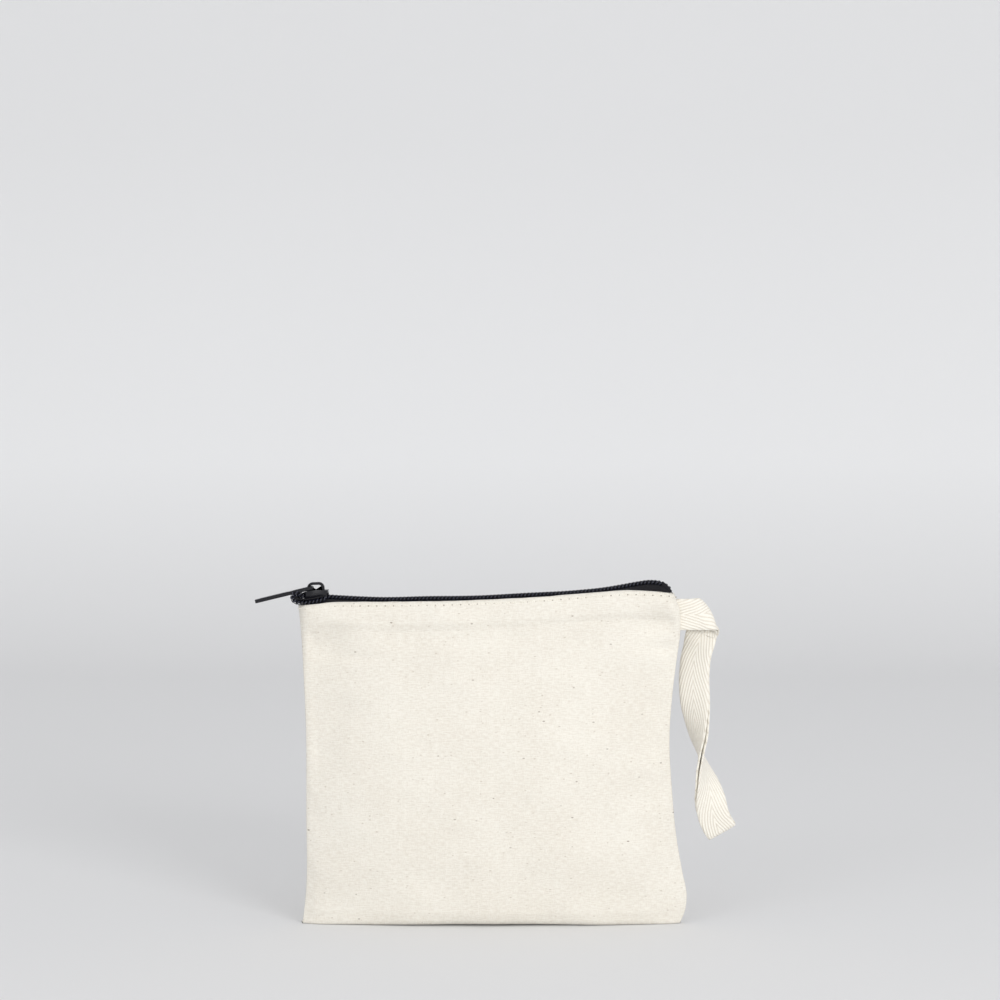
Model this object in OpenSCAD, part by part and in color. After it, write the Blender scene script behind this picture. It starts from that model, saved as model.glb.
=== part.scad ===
// A small standing canvas pouch with a coil zip along its top and a wrist loop in its right side seam.
// Millimetres. X runs along the zip, -Y is the front, +Z is up, and the pouch stands on z = 0.

/* [Canvas body] */
// Width of the pouch between its side seams, at the base and at the mouth
body_w = 126; // [120:1:134]
// How far each side seam draws in half way up
waist = 2; // [0:0.5:4]
// Thickness of the filled pouch where it is fullest
body_d = 21; // [20:0.5:26]
// Thickness of one layer of canvas
canvas_t = 0.7; // [0.5:0.05:0.8]
// Depth of the hem that is turned in along the mouth
hem_depth = 8; // [7.5:0.5:10]
// Distance from the middle of the pouch to the raw edge of a side seam allowance
side_raw_edge = 55; // [52:0.5:56]
// Height of the raw edge of the bottom seam allowance
bottom_raw_edge = 7; // [6:0.5:9]

/* [Zip] */
// Height of the coil's centre above the table, at the closed slider
zip_z = 109; // [104:0.5:114]
// Rise of the zip towards its right end, in degrees
zip_tilt = 2; // [0:0.25:3]
// Distance between two coil loops on one side
coil_pitch = 1.25; // [1.2:0.05:1.5]
// Height of the coil
coil_h = 1.3; // [1.2:0.05:1.35]
// Thickness of the zip tape
tape_t = 0.4; // [0.3:0.05:0.4]

/* [Slider and pull] */
// Place of the closed slider's centre along the pouch
slider_x = -57; // [-58:0.5:-54]
// Length of the slider body
slider_l = 8.2; // [8:0.1:9]
// Length of the pull tab from its pivot to its tip
pull_l = 19.2; // [16:0.2:26]
// Thickness of the pull tab
pull_t = 1.2; // [0.9:0.05:1.2]
// Droop of the resting pull tab below the zip line, in degrees
pull_droop = 11.6; // [11:0.1:12]

/* [Wrist loop] */
// Width of the twill tape
strap_w = 10; // [9:0.5:10.5]
// Thickness of the twill tape
strap_t = 0.9; // [0.7:0.05:0.9]

/* [Thread] */
// Distance between two stitches
stitch_pitch = 2.7; // [2.4:0.1:3.2]
// Diameter of the sewing thread
thread_d = 0.4; // [0.3:0.05:0.45]

/* [Hidden] */
canvas_colour = "#F1EDE0";
zip_colour = "#1E1E24";
metal_colour = "#2A2A2E";
strap_colour = "#F7F3E8";
eps = 0.04;

// Canvas: half thickness of the pouch, as a share of body_d / 2, against the share of its height
profile = [
  [0, 0.6], [0.05, 0.76], [0.15, 0.92], [0.3, 1], [0.45, 0.97], [0.6, 0.87], [0.75, 0.74], [0.9, 0.58],
  [1, 0.515]
];
edge_below_zip = 2.75;
base_shares = [0.011, 0.02];
stations = [0.04, 0.09, 0.16, 0.25, 0.36, 0.48, 0.6, 0.7, 0.79, 0.86, 0.91];
ring_steps = 30;
underside_round = 1.2;
side_turn = 1.25;
binding_foot = 9;
binding_run = 86;

// Zip: every height below is measured from the coil's centre line
tape_top = -coil_h / 2;
tape_foot = tape_top - 7;
skirt_y = 3.75;
coil_half = 2;
coil_bite = 0.4;
tooth_w = 0.5;
spine_w = 0.5;
zip_left = -6.5;
skirt_left = 0.5;
skirt_right = 113.2;
zip_right = 117;
coil_left = -5.4;
teeth = 93;
cord_y = 1.2;
cord_w = 0.44;
cord_h = 0.5;
cord_play = 0.05;
part_gap = 1.1;
part_end = 0.5;
part_start = 4.2;

// Slider
plate_t = 1.05;
channel_top = 0.9;
channel_bottom = -1.3;
flange_bottom = -0.42;
wide_half = 3.6;
narrow_half = 2.75;
flange_t = 0.35;
post_half = 0.4;
post_shoulder = -3.2;
post_tip = -2.2;
shoulder_wide = -0.8;
shoulder_narrow = 1.6;
bail_half = 2.9;
bail_h = 2.6;
bail_round = 1.9;
bail_t = 0.9;
bail_w = 1.6;
pivot_x = -1.4;
pivot_up = 0.75;
plate_top = channel_top + plate_t;
pivot_z = plate_top + pivot_up;
bar_r = 0.5;
window_half = 1.25;
window_end = 6.3;
pull_hinge_half = 1.95;
pull_tip_half = 2.3;

// Wrist loop: centre line of the two layers, then the direction of the tape's width, then their half gap
loop_route = [
  [64.4, 0, 102.8, 0, 0, 1, 0.55], [67, -0.5, 102.6, 0.1, 0, 1, 0.55], [71, -1.5, 100.4, 0.5, 0, 0.9, 0.6],
  [73, -2.5, 96, 0.9, 0, 0.4, 0.65], [72, -3, 91, 1, 0.1, 0, 0.7], [70, -3, 86, 1, 0.2, 0, 0.7],
  [69, -3, 80, 1, 0.25, 0, 0.7], [69, -2.5, 74, 1, 0.35, 0, 0.7], [69.5, -2, 68, 0.8, 0.6, 0, 0.7],
  [70.5, -1.5, 62, 0.4, 0.9, 0, 0.7], [71, -1.5, 57, 0, 1, 0, 0.8], [72, -1.5, 52, -0.4, 0.9, 0, 0.9],
  [73.2, -1.5, 46, -0.7, 0.7, 0, 1], [74.5, -1.5, 40, -0.85, 0.5, 0, 1.1], [75.5, -1.5, 34, -0.9, 0.4, 0, 1.2]
];
route_steps = 3;
turn_steps = 6;

function ramp(a, b, v) = let (k = min(1, max(0, (v - a) / (b - a)))) k * k * (3 - 2 * k);
function mouth_z(x) = zip_z - edge_below_zip + (x - slider_x) * tan(zip_tilt);
function half_length(s) = body_w / 2 - waist * (1 - pow(2 * s - 1, 2));
function fullness(s) = lookup(s, profile) * body_d / 2;

// Depth of the outer face behind the seam plane at the share u of the half length and the share s of the height
function depth_at(u, s) =
  let (soft = pow(max(0, 1 - pow(abs(u), 2.6)), 0.6))
  let (blunt = sqrt(max(0, 1 - pow(abs(u), 24))))
  let (k = ramp(0.72, 0.97, s))
  fullness(s) * (soft * (1 - k) + blunt * k);

function share_of(i) = -cos(180 * i / ring_steps);

// A level row of points along the panel's outer face, and along its inner face behind a wall of thickness t
function outer_row(s, inset) =
  let (reach = half_length(s) - inset)
  [for (i = [0:ring_steps])
    let (x = share_of(i) * reach)
    [x, -max(2 * eps, eps + canvas_t + depth_at(share_of(i), s) - inset), s * mouth_z(x)]];
function inner_row(s, t) =
  let (reach = half_length(s) - t * side_turn)
  [for (i = [ring_steps:-1:0])
    let (x = share_of(i) * reach)
    [x, -max(2 * eps, eps + canvas_t - t + depth_at(share_of(i), s)), s * mouth_z(x)]];
function seam_row(s) =
  let (reach = half_length(s) - canvas_t * side_turn)
  [for (i = [ring_steps:-1:0]) [share_of(i) * reach, -eps, s * mouth_z(share_of(i) * reach)]];

// One canvas panel in a single skin: a solid floor, then the wall, then the doubled hem
module wall() {
  floor_share = canvas_t / zip_z;
  hem_share = 1 - hem_depth / zip_z;
  rings = concat(
    [concat(outer_row(0, underside_round), seam_row(0)), concat(outer_row(base_shares[0], 0), seam_row(floor_share))],
    [concat(outer_row(base_shares[1], 0), inner_row(floor_share, canvas_t + 2 * eps))],
    [for (s = stations) concat(outer_row(s, 0), inner_row(s, canvas_t))],
    [concat(outer_row(hem_share, 0), inner_row(hem_share, canvas_t))],
    [for (s = [hem_share + 0.003, 0.965, 1]) concat(outer_row(s, 0), inner_row(s, 2 * canvas_t))]
  );
  n = 2 * (ring_steps + 1);
  last = len(rings) - 1;
  polyhedron(
    points = [for (r = rings) each r],
    faces = concat(
      [for (i = [0:ring_steps - 1]) [i, i + 1, n - 2 - i, n - 1 - i]],
      [for (k = [0:last - 1]) for (i = [0:n - 1])
        let (j = (i + 1) % n)
        each [[k * n + i, (k + 1) * n + j, k * n + j], [k * n + i, (k + 1) * n + i, (k + 1) * n + j]]],
      [for (i = [0:ring_steps - 1]) [last * n + n - 1 - i, last * n + n - 2 - i, last * n + i + 1, last * n + i]]
    ),
    convexity = 6
  );
}

module panel() {
  wall();
  for (side = [-1, 1])
    side_allowance(side);
  translate([-side_raw_edge, -eps - canvas_t, canvas_t - eps])
    cube([2 * side_raw_edge, canvas_t, bottom_raw_edge - canvas_t]);
}

module side_allowance(side) {
  edge = [for (s = [0.02:0.12:0.98]) [side * (half_length(s) - canvas_t / 2), s * mouth_z(side * half_length(s))]];
  translate([0, -eps, 0])
    rotate([90, 0, 0])
      linear_extrude(canvas_t)
        polygon(concat(edge, [[side * side_raw_edge, edge[len(edge) - 1][1]], [side * side_raw_edge, edge[0][1]]]));
}

module front_panel() {
  color(canvas_colour) panel();
}

module back_panel() {
  color(canvas_colour) mirror([0, 1, 0]) panel();
}

// A row of straight stitches along the mouth, half sunk in the canvas
module topstitch() {
  first = -54;
  run = 112;
  drop = 1.2;
  for (i = [0:floor(run / stitch_pitch)]) {
    x = first + i * stitch_pitch;
    s = 1 - drop / mouth_z(x);
    y = -(eps + canvas_t + depth_at(x / half_length(s), s));
    translate([x, y, mouth_z(x) - drop])
      rotate([0, 90 - zip_tilt, 0])
        cylinder(d = thread_d, h = stitch_pitch * 0.75, $fn = 16);
  }
}

module topstitch_front() {
  color(canvas_colour) topstitch();
}

module topstitch_back() {
  color(canvas_colour) mirror([0, 1, 0]) topstitch();
}

// The seam that joins the two panels down one side: one stitch after another through both allowances
module side_seam(side) {
  run = 98;
  foot = 4;
  inset = 2.2;
  for (i = [0:floor(run / stitch_pitch)]) {
    z = foot + i * stitch_pitch;
    x = side * (half_length(z / zip_z) - inset);
    translate([x, 0, z])
      rotate([90, 0, 0])
        cylinder(d = thread_d, h = 2 * canvas_t + 4 * eps, center = true, $fn = 16);
  }
}

module side_seam_left() {
  color(canvas_colour) side_seam(-1);
}

module side_seam_right() {
  color(canvas_colour) side_seam(1);
}

module bottom_seam() {
  run = 106;
  height = 1.6;
  color(canvas_colour)
    for (i = [0:floor(run / stitch_pitch)])
      translate([-run / 2 + i * stitch_pitch, 0, height])
        rotate([90, 0, 0])
          cylinder(d = thread_d, h = 2 * canvas_t + 4 * eps, center = true, $fn = 16);
}

// Overlock thread: a thin sleeve over the two raw edges of a seam allowance
module overlock(l) {
  width = 2.4;
  wrap = 0.25;
  half = canvas_t + 2 * eps;
  linear_extrude(l)
    difference() {
      translate([-wrap, -half - wrap]) square([width + wrap, 2 * (half + wrap)]);
      translate([0, -half]) square([width + 1, 2 * half]);
    }
}

module overlock_left() {
  color(canvas_colour) translate([-side_raw_edge, 0, binding_foot]) mirror([1, 0, 0]) overlock(binding_run);
}

module overlock_right() {
  color(canvas_colour) translate([side_raw_edge, 0, binding_foot]) overlock(binding_run);
}

module overlock_bottom() {
  run = 100;
  color(canvas_colour)
    translate([-run / 2, 0, bottom_raw_edge])
      rotate([0, 90, 0])
        overlock(run);
}

// Places a shape in the zip's own frame: x along the chain from the closed slider's centre, z up from the coil
module on_zip() {
  translate([slider_x, 0, zip_z]) rotate([0, -zip_tilt, 0]) children();
}

// How far one half of the chain stands off the centre line round the slider's post
function parting(x) = part_gap * (1 - ramp(-part_start, part_end, x));
route_x = [coil_left, -4.2, -3.4, -2.6, -1.8, -1, -0.2, 0.5, 1.2];

module strip(y0, y1, left, right, h) {
  inner = concat([left], [for (x = route_x) if (x > left) x], [right]);
  n = len(inner) - 1;
  linear_extrude(h)
    polygon(concat(
      [for (x = inner) [x, -y0 - parting(x)]],
      [for (i = [n:-1:0]) [inner[i], -y1 - parting(inner[i])]]
    ));
}

module zipper_tape() {
  inner = concat([zip_left], route_x, [zip_right]);
  on_zip() {
    translate([0, 0, tape_top - tape_t])
      linear_extrude(tape_t)
        polygon(concat(
          [for (x = inner) [x, -0.45 - parting(x)]],
          [[zip_right, -skirt_y - tape_t], [zip_left, -skirt_y - tape_t]]
        ));
    translate([skirt_left, -skirt_y - tape_t, tape_foot])
      cube([skirt_right - skirt_left, tape_t, tape_top - tape_foot]);
  }
}

module zipper_tape_front() {
  color(zip_colour) zipper_tape();
}

module zipper_tape_back() {
  color(zip_colour) mirror([0, 1, 0]) zipper_tape();
}

// One half of the coil as a rack of loops that bite into the other half, hollow for its filler cord
module coil(shift) {
  loops = [for (i = [0:teeth]) coil_left + shift + i * coil_pitch];
  tips = [for (x = loops) each [
    [x, -coil_half + spine_w - parting(x)], [x, coil_bite - parting(x)],
    [x + tooth_w, coil_bite - parting(x)], [x + tooth_w, -coil_half + spine_w - parting(x)]
  ]];
  last = loops[teeth] + tooth_w;
  back = concat([loops[0]], [for (x = route_x) if (x > loops[0]) x], [last]);
  n = len(back) - 1;
  on_zip()
    difference() {
      translate([0, 0, -coil_h / 2])
        linear_extrude(coil_h)
          polygon(concat(tips, [for (i = [n:-1:0]) [back[i], -coil_half - parting(back[i])]]));
      translate([0, 0, -cord_h / 2 - cord_play])
        strip(cord_y - cord_w / 2 - cord_play, cord_y + cord_w / 2 + cord_play,
          coil_left - 1, zip_right, cord_h + 2 * cord_play);
    }
}

module coil_front() {
  color(zip_colour) coil(0);
}

module coil_back() {
  color(zip_colour) mirror([0, 1, 0]) coil(coil_pitch / 2);
}

module coil_cord() {
  on_zip()
    translate([0, 0, -cord_h / 2])
      strip(cord_y - cord_w / 2, cord_y + cord_w / 2, coil_left, zip_right - 5, cord_h);
}

module coil_cord_front() {
  color(zip_colour) coil_cord();
}

module coil_cord_back() {
  color(zip_colour) mirror([0, 1, 0]) coil_cord();
}

// The two threads that hold a coil to its tape: one along the coil's top, one under the tape
module coil_stitching() {
  row_y = 1.7;
  row_w = 0.25;
  row_h = 0.1;
  on_zip() {
    translate([0, 0, coil_h / 2])
      strip(row_y, row_y + row_w, coil_left + 1, zip_right - 6, row_h);
    translate([0, 0, tape_top - tape_t - row_h])
      strip(row_y, row_y + row_w, coil_left + 1, zip_right - 6, row_h);
  }
}

module coil_stitching_front() {
  color(zip_colour) coil_stitching();
}

module coil_stitching_back() {
  color(zip_colour) mirror([0, 1, 0]) coil_stitching();
}

// Plan of the slider: wide at its left end, where the parted coils enter, and narrow at its right end
module slider_plan(inset) {
  l = slider_l / 2;
  corner = 1;
  w = wide_half - inset;
  n = narrow_half - inset;
  polygon([
    [-l, -w + corner], [-l + corner, -w], [shoulder_wide, -w], [shoulder_narrow, -n], [l - corner / 2, -n],
    [l, -n + corner / 2], [l, n - corner / 2], [l - corner / 2, n], [shoulder_narrow, n], [shoulder_wide, w],
    [-l + corner, w], [-l, w - corner]
  ]);
}

module slider_body() {
  l = slider_l / 2;
  nose_start = -1.5;
  nose_slope = atan(0.24);
  throat = coil_half + 0.15;
  color(metal_colour)
    on_zip() {
      translate([0, 0, channel_bottom - plate_t]) linear_extrude(plate_t) slider_plan(0);
      difference() {
        translate([0, 0, channel_top]) linear_extrude(plate_t) slider_plan(0);
        translate([nose_start, -l, plate_top]) rotate([0, -nose_slope, 0]) translate([-l, 0, 0]) cube([l, 2 * l, l]);
      }
      difference() {
        translate([0, 0, flange_bottom]) linear_extrude(channel_top - flange_bottom + eps) slider_plan(0);
        translate([0, 0, flange_bottom - 1])
          linear_extrude(3)
            polygon([
              [-l - 1, -wide_half + flange_t], [shoulder_wide, -wide_half + flange_t], [shoulder_narrow, -throat],
              [l + 1, -throat], [l + 1, throat], [shoulder_narrow, throat], [shoulder_wide, wide_half - flange_t],
              [-l - 1, wide_half - flange_t]
            ]);
      }
      translate([0, 0, channel_bottom - eps])
        linear_extrude(channel_top - channel_bottom + 2 * eps)
          polygon([
            [-l, -post_half], [post_shoulder, -post_half], [post_tip, 0], [post_shoulder, post_half], [-l, post_half]
          ]);
    }
}

module arch(half, h, r) {
  foot = 0.35;
  translate([-half, -foot]) square([2 * half, h - r + foot]);
  translate([-half + r, -foot]) square([2 * half - 2 * r, h + foot]);
  for (side = [-1, 1])
    translate([side * (half - r), h - r]) circle(r = r, $fn = 32);
}

// The arched bail that stands on the slider and holds the pull tab's cross bar
module slider_bail() {
  color(metal_colour)
    on_zip()
      translate([0, bail_w / 2, plate_top])
        rotate([90, 0, 0])
          linear_extrude(bail_w)
            difference() {
              arch(bail_half, bail_h, bail_round);
              translate([0, -0.5]) arch(bail_half - bail_t, bail_h - bail_t + 0.5, bail_round - 0.8);
            }
}

module pull_plan() {
  corner = 0.8;
  polygon([
    [0, -pull_hinge_half], [0, pull_hinge_half], [-pull_l + corner, pull_tip_half],
    [-pull_l, pull_tip_half - corner], [-pull_l, -pull_tip_half + corner], [-pull_l + corner, -pull_tip_half]
  ]);
}

// The flat pull tab: two rails and a round cross bar at its hinged end, and a shallow panel in each face
module pull_tab() {
  recess = 0.2;
  color(metal_colour)
    on_zip()
      translate([pivot_x, 0, pivot_z])
        rotate([0, -pull_droop, 0]) {
          difference() {
            union() {
              translate([0, 0, -pull_t / 2]) linear_extrude(pull_t) pull_plan();
              rotate([90, 0, 0]) cylinder(r = pull_t / 2, h = 2 * pull_hinge_half, center = true, $fn = 32);
            }
            translate([-window_end, -window_half, -2]) cube([window_end + 2, 2 * window_half, 4]);
            for (side = [-1, 1])
              translate([-pull_l + 1.6, -1.3, side * pull_t / 2 - recess])
                cube([pull_l - window_end - 3.4, 2.6, 2 * recess]);
          }
          rotate([90, 0, 0]) cylinder(r = bar_r, h = 2 * window_half + 0.2, center = true, $fn = 32);
        }
}

// Smooth stations along the wrist loop's route
function spline(a, b, c, d, k) =
  0.5 * (2 * b + (c - a) * k + (2 * a - 5 * b + 4 * c - d) * k * k + (3 * b - a - 3 * c + d) * k * k * k);
function unit(v) = v / norm(v);
route_last = len(loop_route) - 1;
route = concat(
  [for (i = [0:route_last - 1]) for (j = [0:route_steps - 1])
    spline(
      loop_route[max(0, i - 1)], loop_route[i], loop_route[i + 1], loop_route[min(route_last, i + 2)],
      j / route_steps)],
  [loop_route[route_last]]
);
route_n = len(route) - 1;
function place(i) = [route[i][0], route[i][1], route[i][2]];
function heading(i) = unit(place(min(route_n, i + 1)) - place(max(0, i - 1)));
function across(i) =
  let (w = [route[i][3], route[i][4], route[i][5]])
  unit(w - (w * heading(i)) * heading(i));
function facing(i) = cross(heading(i), across(i));

// One ring of the tape: its centre, the direction of its width and the direction of its thickness
function tape_ring(c, w, m) = [
  c - w * strap_w / 2 - m * strap_t / 2, c + w * strap_w / 2 - m * strap_t / 2,
  c + w * strap_w / 2 + m * strap_t / 2, c - w * strap_w / 2 + m * strap_t / 2
];

// A closed skin over rings of the same number of points
module skin(rings) {
  n = len(rings[0]);
  last = len(rings) - 1;
  polyhedron(
    points = [for (r = rings) each r],
    faces = concat(
      [[for (i = [0:n - 1]) i]],
      [for (k = [0:last - 1]) for (i = [0:n - 1])
        let (j = (i + 1) % n)
        each [[k * n + i, (k + 1) * n + j, k * n + j], [k * n + i, (k + 1) * n + i, (k + 1) * n + j]]],
      [[for (i = [n - 1:-1:0]) last * n + i]]
    ),
    convexity = 6
  );
}

// The loop of twill tape: down in front, round at the bottom, and up again behind
module wrist_strap() {
  down = [for (i = [0:route_n]) tape_ring(place(i) + facing(i) * route[i][6], across(i), facing(i))];
  turn = [for (k = [1:turn_steps - 1])
    let (a = 180 * k / turn_steps)
    let (m = facing(route_n) * cos(a) + heading(route_n) * sin(a))
    tape_ring(place(route_n) + m * route[route_n][6], across(route_n), m)];
  up = [for (i = [route_n:-1:0]) tape_ring(place(i) - facing(i) * route[i][6], across(i), -facing(i))];
  color(strap_colour) skin(concat(down, turn, up));
}

front_panel();
back_panel();
topstitch_front();
topstitch_back();
side_seam_left();
side_seam_right();
bottom_seam();
overlock_left();
overlock_right();
overlock_bottom();
zipper_tape_front();
zipper_tape_back();
coil_front();
coil_back();
coil_cord_front();
coil_cord_back();
coil_stitching_front();
coil_stitching_back();
slider_body();
slider_bail();
pull_tab();
wrist_strap();
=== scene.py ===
import math

import bmesh
import bpy
import numpy as np
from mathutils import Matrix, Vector


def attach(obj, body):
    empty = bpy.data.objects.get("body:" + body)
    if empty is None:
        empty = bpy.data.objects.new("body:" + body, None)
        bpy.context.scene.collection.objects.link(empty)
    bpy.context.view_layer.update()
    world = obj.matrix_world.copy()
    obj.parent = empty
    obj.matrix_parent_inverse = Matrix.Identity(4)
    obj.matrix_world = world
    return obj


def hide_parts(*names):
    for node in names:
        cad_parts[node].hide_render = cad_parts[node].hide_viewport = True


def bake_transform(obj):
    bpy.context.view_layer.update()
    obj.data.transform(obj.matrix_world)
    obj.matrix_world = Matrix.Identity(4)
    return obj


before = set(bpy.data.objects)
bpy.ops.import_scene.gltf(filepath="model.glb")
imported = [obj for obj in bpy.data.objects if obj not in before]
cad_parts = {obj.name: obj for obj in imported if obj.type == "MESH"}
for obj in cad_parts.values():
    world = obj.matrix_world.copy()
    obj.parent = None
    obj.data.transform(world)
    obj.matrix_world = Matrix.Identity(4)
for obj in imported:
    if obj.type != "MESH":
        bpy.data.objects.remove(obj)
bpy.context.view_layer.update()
MM = 0.001

# The view
# A long lens a little above the mouth of the pouch, looking almost level at its front panel.
view_x, view_distance, eye_height, aim_height = 0.004, 0.85, 0.1612, 0.1408
camera_data = bpy.data.cameras.new("camera")
camera_data.lens = 92.3
camera = bpy.data.objects.new("camera", camera_data)
camera.location = (view_x, -view_distance, eye_height)
target = Vector((view_x, 0, aim_height))
camera.rotation_euler = (target - camera.location).to_track_quat("-Z", "Y").to_euler()
bpy.context.collection.objects.link(camera)
bpy.context.scene.camera = camera
bpy.context.scene.view_settings.view_transform = "Standard"


# The table and backdrop
# One pale sheet of paper that lies flat under the pouch and sweeps up behind it.
def new_piece(name, points, faces, material):
    """A smooth-shaded mesh in the scene, in metres."""
    mesh = bpy.data.meshes.new(name)
    mesh.from_pydata([tuple(p) for p in points], [], [tuple(f) for f in faces])
    mesh.update()
    mesh.shade_smooth()
    mesh.materials.append(material)
    piece = bpy.data.objects.new(name, mesh)
    bpy.context.collection.objects.link(piece)
    return piece


def grid_faces(rows, columns, start=0):
    """Quads over a grid of points that are listed row by row."""
    return [
        (start + r * columns + c, start + r * columns + c + 1,
         start + (r + 1) * columns + c + 1, start + (r + 1) * columns + c)
        for r in range(rows - 1) for c in range(columns - 1)
    ]


def new_material(name):
    """A material, its node tree and its main shader."""
    material = bpy.data.materials.new(name)
    material.use_nodes = True
    return material, material.node_tree, material.node_tree.nodes["Principled BSDF"]


def add_node(tree, kind, settings=None, **inputs):
    """A node with its settings and its inputs: a socket is linked, anything else is a value."""
    made = tree.nodes.new(kind)
    for key, value in (settings or {}).items():
        setattr(made, key, value)
    for key, value in inputs.items():
        place = int(key[1:]) if key[0] == "i" and key[1:].isdigit() else key.replace("_", " ")
        if isinstance(value, bpy.types.NodeSocket):
            tree.links.new(value, made.inputs[place])
        else:
            made.inputs[place].default_value = value
    return made


def maths(tree, operation, a, b=0.0, c=0.0):
    """The result of one sum on sockets or plain numbers."""
    return add_node(tree, "ShaderNodeMath", {"operation": operation}, i0=a, i1=b, i2=c).outputs[0]


def mixed(tree, factor, a, b):
    """A colour between a and b, either of them a socket or a plain colour."""
    made = tree.nodes.new("ShaderNodeMix")
    made.data_type = "RGBA"
    for place, value in ((0, factor), (6, a), (7, b)):
        if isinstance(value, bpy.types.NodeSocket):
            tree.links.new(value, made.inputs[place])
        else:
            made.inputs[place].default_value = value
    return made.outputs[2]


# The paper's colour carries painted shade: it is painted greyer where it lies flat and again far up, and
# palest just behind the pouch
floor_painted_shade, pale_shade = (0.765, 0.765, 0.77, 1), (0.88, 0.883, 0.888, 1)
pale_from, dim_from, dim_full = 0.14, 0.15, 0.42
paper, tree, shader = new_material("paper")
paper_place = add_node(tree, "ShaderNodeTexCoord").outputs["Object"]
height = add_node(tree, "ShaderNodeSeparateXYZ", i0=paper_place).outputs[2]
fibres = add_node(tree, "ShaderNodeTexNoise", Vector=paper_place, Scale=3.0, Detail=4.0).outputs[0]
lit = add_node(tree, "ShaderNodeMapRange", Value=height, From_Min=0.0, From_Max=pale_from).outputs[0]
painted_dim_far_up = add_node(tree, "ShaderNodeMapRange", Value=height, From_Min=dim_from, From_Max=dim_full,
                  To_Max=0.5).outputs[0]
paler = maths(tree, "ADD", maths(tree, "MULTIPLY", lit, 0.9), maths(tree, "MULTIPLY", fibres, 0.1))
paler = maths(tree, "SUBTRACT", paler, painted_dim_far_up)
tree.links.new(mixed(tree, paler, floor_painted_shade, pale_shade), shader.inputs["Base Color"])
shader.inputs["Roughness"].default_value = 0.9
shader.inputs["Specular IOR Level"].default_value = 0.1

paper_front, paper_half, paper_top = -1.6, 2.2, 2.4
sweep_start, sweep_radius = 0.9, 0.5
sweep = [(paper_front, 0.0), (0.0, 0.0), (sweep_start, 0.0)]
sweep += [
    (sweep_start + sweep_radius * math.sin(a), sweep_radius * (1 - math.cos(a)))
    for a in np.linspace(0.1, math.pi / 2, 14)
]
sweep += [(sweep_start + sweep_radius, paper_top)]
backdrop = new_piece(
    "backdrop",
    [(x, y, z) for y, z in sweep for x in (-paper_half, 0, paper_half)],
    grid_faces(len(sweep), 3), paper)


def area_light(name, place, aim, size, power):
    """A square lamp that faces aim."""
    data = bpy.data.lights.new(name, "AREA")
    data.size, data.energy = size, power
    lamp = bpy.data.objects.new(name, data)
    lamp.location = place
    lamp.rotation_euler = (Vector(aim) - Vector(place)).to_track_quat("-Z", "Y").to_euler()
    bpy.context.collection.objects.link(lamp)


pouch_middle = (0, 0, 0.08)
area_light("key", (0.85, -1.5, 0.5), pouch_middle, 0.65, 13)
area_light("fill", (-1.0, -1.3, 0.6), pouch_middle, 0.8, 3.5)
world = bpy.data.worlds.new("room")
world.use_nodes = True
world.node_tree.nodes["Background"].inputs["Color"].default_value = (0.985, 0.99, 1, 1)
world.node_tree.nodes["Background"].inputs["Strength"].default_value = 0.78
bpy.context.scene.world = world


# The two canvas panels
# Natural plain-weave cotton canvas. Each panel is cut in one piece, hemmed along the mouth, and turned in
# at the side and bottom seams. The filled pouch stands on its bottom seam.
def smooth_line(points):
    """A smooth curve through a few given points, as a function."""
    px, py = (np.array(v, float) for v in zip(*points))
    slope = np.gradient(py, px)

    def at(x):
        x = np.clip(x, px[0], px[-1])
        k = np.clip(np.searchsorted(px, x) - 1, 0, len(px) - 2)
        w = px[k + 1] - px[k]
        t = (x - px[k]) / w
        return ((2 * t**3 - 3 * t**2 + 1) * py[k] + (t**3 - 2 * t**2 + t) * w * slope[k]
                + (3 * t**2 - 2 * t**3) * py[k + 1] + (t**3 - t**2) * w * slope[k + 1])
    return at


def ramp(a, b, v):
    """A smooth rise from 0 at a to 1 at b."""
    t = np.clip((v - a) / (b - a), 0, 1)
    return t * t * (3 - 2 * t)


# Outlines in millimetres: x of each side seam and half the depth by the share of the height, and the mouth's
# height by x
left_seam = smooth_line([(0, -61.7), (0.08, -60.7), (0.35, -60.4), (0.62, -60.5), (0.8, -61.3), (0.9, -61.9),
                         (1, -62.9)])
right_seam = smooth_line([(0, 63.9), (0.04, 65.6), (0.085, 66.1), (0.16, 64.6), (0.26, 62.7), (0.4, 61.2),
                          (0.56, 60.3), (0.7, 61.3), (0.8, 62.6), (0.9, 63.9), (0.955, 63.6), (1, 61.8)])
mouth_edge = smooth_line([(-63, 106.1), (-58, 106.4), (-52, 107.1), (-46, 107.25), (-36, 107.25),
                          (-22, 107.4), (12, 108.6), (30, 109.9), (47, 111.0), (54, 110.7), (60, 110.2),
                          (63, 109.4)])
half_depth = smooth_line([(0, 6.2), (0.04, 7.7), (0.1, 8.9), (0.25, 10.1), (0.4, 10.0), (0.55, 9.2),
                          (0.7, 8.0), (0.85, 6.7), (1, 5.5)])
# The depth falls off roundly to the side seams low down, and late and bluntly where the zip spans the mouth
body_round, mouth_blunt = 2.3, 22
canvas_t = 0.7
seam_gap = 0.04
wall_height = 108.6
hem_depth = 8.2
# The topstitching runs this far below the edge of the mouth
stitch_drop = 1.2
# The middle of the bottom edge stands this far off the table
arch_rise, arch_half = 0.7, 36
# How far the hem, the sunk stitch line and the rolled foot stand out, and how strongly the dents are pressed
hem_proud, stitch_sink, foot_roll, dent_press = 0.75, 0.2, 0.26, 1.25
foot_height = 4.6
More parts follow.
